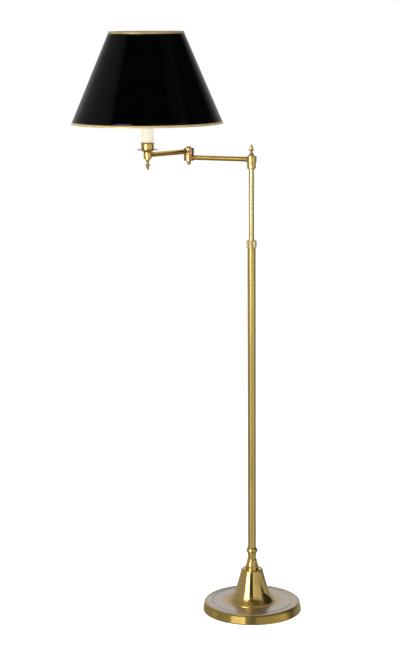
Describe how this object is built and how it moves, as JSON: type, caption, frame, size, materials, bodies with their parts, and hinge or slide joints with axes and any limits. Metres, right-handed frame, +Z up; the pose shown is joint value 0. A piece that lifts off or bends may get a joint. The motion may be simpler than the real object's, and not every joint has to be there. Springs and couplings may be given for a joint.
{
  "type": "adjustable arm floor lamp",
  "caption": "Floor lamp with a weighted round base, a telescoping pole, a jointed swing arm, a candle-style lamp holder and a tapered card shade.",
  "frame": {"origin": "centre of the underside of the base, on the axis of the pole", "axes": "+Z up along the pole; -Y is the front of the lamp, with the arm folded out to -X; +X is the right-hand side seen from the front"},
  "size_m": [0.5709, 0.3744, 1.4845],
  "materials": {
    "felt": "green wool felt",
    "cast_iron": "rough sand casting",
    "polished_brass": "polished, lightly tarnished",
    "aged_brass": "aged antique brass",
    "plain_brass": "plain machined brass",
    "socket_brass": "bright plated brass",
    "black_plastic": "moulded phenolic",
    "zinc_steel": "zinc plated",
    "nylon": "natural nylon",
    "ivory_sleeve": "ivory satin card or plastic candle cover",
    "liner_card": "brown insulating card",
    "aluminium": "bright spun shell",
    "plated_wire": "brass plated steel wire",
    "black_card": "gloss lacquered black card with a white lining",
    "gold_tape": "metallic gold trim tape",
    "bulb_glass": "inside-frosted glass"
  },
  "bodies": {
    "stand": {"base_felt_pad": "felt", "base_weight": "cast_iron", "base_disc": "polished_brass", "cord_inlet_bushing": "black_plastic", "base_washer": "zinc_steel", "base_hex_nut": "zinc_steel", "base_threaded_rod": "zinc_steel", "base_bell": "aged_brass", "stem_vase": "aged_brass", "pole_foot_plug": "plain_brass", "lower_pole_tube": "polished_brass", "pole_guide_bush": "nylon", "lock_collet": "nylon"},
    "lock_nut": {"height_lock_nut": "aged_brass"},
    "upper_pole": {"upper_pole_tube": "polished_brass", "upper_pole_stop_bush": "nylon", "hub_lower_collar": "aged_brass", "hub_pivot_stud": "plain_brass", "hub_friction_washer": "nylon", "top_finial": "aged_brass"},
    "inner_arm": {"hub_knuckle": "aged_brass", "inner_arm_tube": "aged_brass", "elbow_lower_knuckle": "aged_brass", "elbow_pivot_pin": "plain_brass", "elbow_friction_washer": "nylon", "elbow_ball_nut": "aged_brass", "elbow_cap": "aged_brass"},
    "outer_arm": {"elbow_upper_knuckle": "aged_brass", "outer_arm_tube": "aged_brass", "head_knuckle": "aged_brass", "bottom_finial": "aged_brass", "lamp_nipple": "plain_brass", "drip_pan": "aged_brass", "candle_cup": "aged_brass", "nipple_lock_nut": "plain_brass", "candle_sleeve": "ivory_sleeve", "socket_cap": "socket_brass", "socket_shell": "socket_brass", "socket_liner": "liner_card", "socket_body": "black_plastic", "socket_screw_shell": "aluminium", "socket_centre_contact": "plain_brass", "fitter_seat_ring": "plain_brass", "fitter_hub_ring": "plain_brass", "shade_ring_nut": "plain_brass", "fitter_spokes": "plated_wire", "shade_top_ring": "plated_wire", "shade_bottom_ring": "plated_wire", "shade_card": "black_card", "shade_trim_top": "gold_tape", "shade_trim_bottom": "gold_tape", "bulb_base": "aluminium", "bulb_glass": "bulb_glass"},
    "switch": {"switch_knob": "black_plastic"}
  },
  "joints": [
    {"name": "height_slide", "type": "slide", "parent": "stand", "child": "upper_pole", "axis": [0, 0, 1], "range_m": [-0.178, 0.125]},
    {"name": "lock_nut_turn", "type": "hinge", "parent": "stand", "child": "lock_nut", "pos_m": [0, 0, 0.9566], "axis": [0, 0, 1], "range_deg": [0, 270]},
    {"name": "arm_swing", "type": "hinge", "parent": "upper_pole", "child": "inner_arm", "pos_m": [0, 0, 1.1684], "axis": [0, 0, 1], "range_deg": [-170, 170]},
    {"name": "elbow_swing", "type": "hinge", "parent": "inner_arm", "child": "outer_arm", "pos_m": [-0.1557, 0.07261, 1.1762], "axis": [0, 0, 1], "range_deg": [-237, 98]},
    {"name": "switch_turn", "type": "hinge", "parent": "outer_arm", "child": "switch", "pos_m": [-0.2423, -0.02759, 1.289], "axis": [1, 0, 0], "continuous": true}
  ]
}
